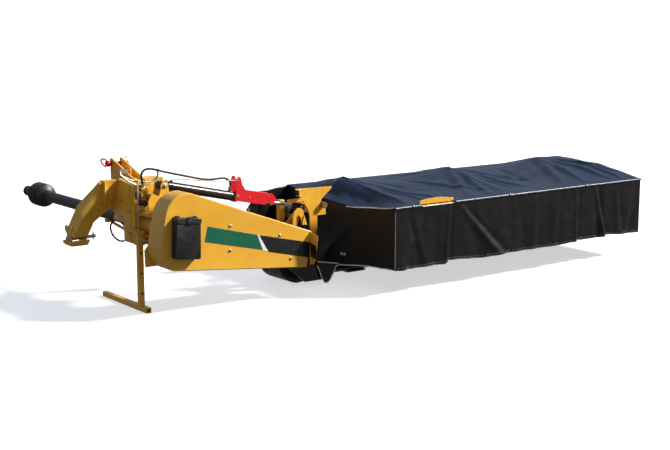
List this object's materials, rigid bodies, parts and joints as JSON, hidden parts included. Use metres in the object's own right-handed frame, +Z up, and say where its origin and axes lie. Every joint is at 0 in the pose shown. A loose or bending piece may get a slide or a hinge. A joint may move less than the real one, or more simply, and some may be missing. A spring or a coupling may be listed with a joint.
{
  "type": "three-point disc mower",
  "caption": "Rear-mounted disc mower with belt drive, folding cutterbar under a black curtain, and parking stand.",
  "frame": {"origin": "middle of the machine's footprint, on the ground", "axes": "+X to the machine's right along the cutterbar, +Y forward to the tractor, +Z up"},
  "size_m": [4.8636, 3.135, 1.038],
  "materials": {
    "yellow_paint": "gloss enamel over steel, dusty",
    "black_paint": "satin enamel, worn on the soles",
    "red_paint": "gloss enamel",
    "bare_steel": "zinc plated or ground steel",
    "chrome": "hard chrome",
    "black_plastic": "moulded, lightly textured",
    "curtain_vinyl": "coated cloth with a soft sheen",
    "rope": "cream laid rope, dusty",
    "disc_steel": "hardened steel, dull"
  },
  "bodies": {
    "hitch_frame": {"headstock_column": "yellow_paint", "lower_arm_left": "yellow_paint", "lower_arm_right": "yellow_paint", "lower_pin_left": "bare_steel", "lower_pin_right": "bare_steel", "top_link_mast": "yellow_paint", "top_link_pin": "red_paint", "input_housing": "yellow_paint", "driveline_cover": "yellow_paint", "driveline_guard": "black_plastic", "driveline_rest": "yellow_paint", "stand_sleeve": "yellow_paint", "stand_pin": "bare_steel", "main_beam": "yellow_paint", "belt_shield": "yellow_paint", "document_box": "black_plastic", "lift_base": "yellow_paint"},
    "stand": {"stand_leg": "yellow_paint"},
    "driveline": {"driveline_shaft": "bare_steel"},
    "lift_barrel": {"cylinder_barrel": "black_paint", "transport_lock": "red_paint", "hydraulic_hose": "black_plastic", "lock_rope": "rope"},
    "lift_rod": {"cylinder_rod": "chrome", "rod_fork": "black_paint"},
    "cutterbar": {"cutterbar_carrier": "yellow_paint", "lift_lever": "yellow_paint", "cutterbar": "black_paint", "skid_shoes": "black_paint", "inner_shoe": "black_paint", "outer_shoe": "black_paint", "curtain_rails": "yellow_paint", "curtain_bows": "yellow_paint", "curtain_spine": "yellow_paint", "curtain_top": "curtain_vinyl", "curtain_rear": "curtain_vinyl", "curtain_front": "curtain_vinyl", "curtain_outer": "curtain_vinyl", "curtain_inner": "curtain_vinyl"},
    "disc_1": {"disc_1": "disc_steel"},
    "disc_2": {"disc_2": "disc_steel"},
    "disc_3": {"disc_3": "disc_steel"},
    "disc_4": {"disc_4": "disc_steel"},
    "disc_5": {"disc_5": "disc_steel"},
    "disc_6": {"disc_6": "disc_steel"}
  },
  "joints": [
    {"name": "stand_slide", "type": "slide", "parent": "hitch_frame", "child": "stand", "axis": [0, 0, 1], "range_m": [0, 0.3]},
    {"name": "driveline_spin", "type": "hinge", "parent": "hitch_frame", "child": "driveline", "pos_m": [-1.94125, 0.0325, 0.593], "axis": [0, 1, 0], "continuous": true},
    {"name": "cutterbar_fold", "type": "hinge", "parent": "hitch_frame", "child": "cutterbar", "pos_m": [-0.98825, -0.8175, 0.365], "axis": [0, -1, 0], "range_deg": [-15, 80]},
    {"name": "lift_swing", "type": "hinge", "parent": "hitch_frame", "child": "lift_barrel", "pos_m": [-1.92325, -0.8175, 0.902], "axis": [0, -1, 0], "range_deg": [-10, 4]},
    {"name": "lift_stroke", "type": "slide", "parent": "lift_barrel", "child": "lift_rod", "axis": [0.9762, 0, -0.217], "range_m": [-0.5, 0.1]},
    {"name": "disc_1_spin", "type": "hinge", "parent": "cutterbar", "child": "disc_1", "pos_m": [-0.02325, -0.5575, 0.09], "axis": [0, 0, 1], "continuous": true},
    {"name": "disc_2_spin", "type": "hinge", "parent": "cutterbar", "child": "disc_2", "pos_m": [0.38175, -0.5575, 0.09], "axis": [0, 0, 1], "continuous": true},
    {"name": "disc_3_spin", "type": "hinge", "parent": "cutterbar", "child": "disc_3", "pos_m": [0.78675, -0.5575, 0.09], "axis": [0, 0, 1], "continuous": true},
    {"name": "disc_4_spin", "type": "hinge", "parent": "cutterbar", "child": "disc_4", "pos_m": [1.19175, -0.5575, 0.09], "axis": [0, 0, 1], "continuous": true},
    {"name": "disc_5_spin", "type": "hinge", "parent": "cutterbar", "child": "disc_5", "pos_m": [1.59675, -0.5575, 0.09], "axis": [0, 0, 1], "continuous": true},
    {"name": "disc_6_spin", "type": "hinge", "parent": "cutterbar", "child": "disc_6", "pos_m": [2.00175, -0.5575, 0.09], "axis": [0, 0, 1], "continuous": true}
  ],
  "couplings": [
    {"joint": "lift_swing", "follows": "cutterbar_fold", "ratio": -0.0474},
    {"joint": "lift_stroke", "follows": "cutterbar_fold", "m_per_rad": -0.3494},
    {"joint": "disc_2_spin", "follows": "disc_1_spin", "ratio": -1},
    {"joint": "disc_3_spin", "follows": "disc_1_spin", "ratio": 1},
    {"joint": "disc_4_spin", "follows": "disc_1_spin", "ratio": -1},
    {"joint": "disc_5_spin", "follows": "disc_1_spin", "ratio": 1},
    {"joint": "disc_6_spin", "follows": "disc_1_spin", "ratio": -1}
  ]
}
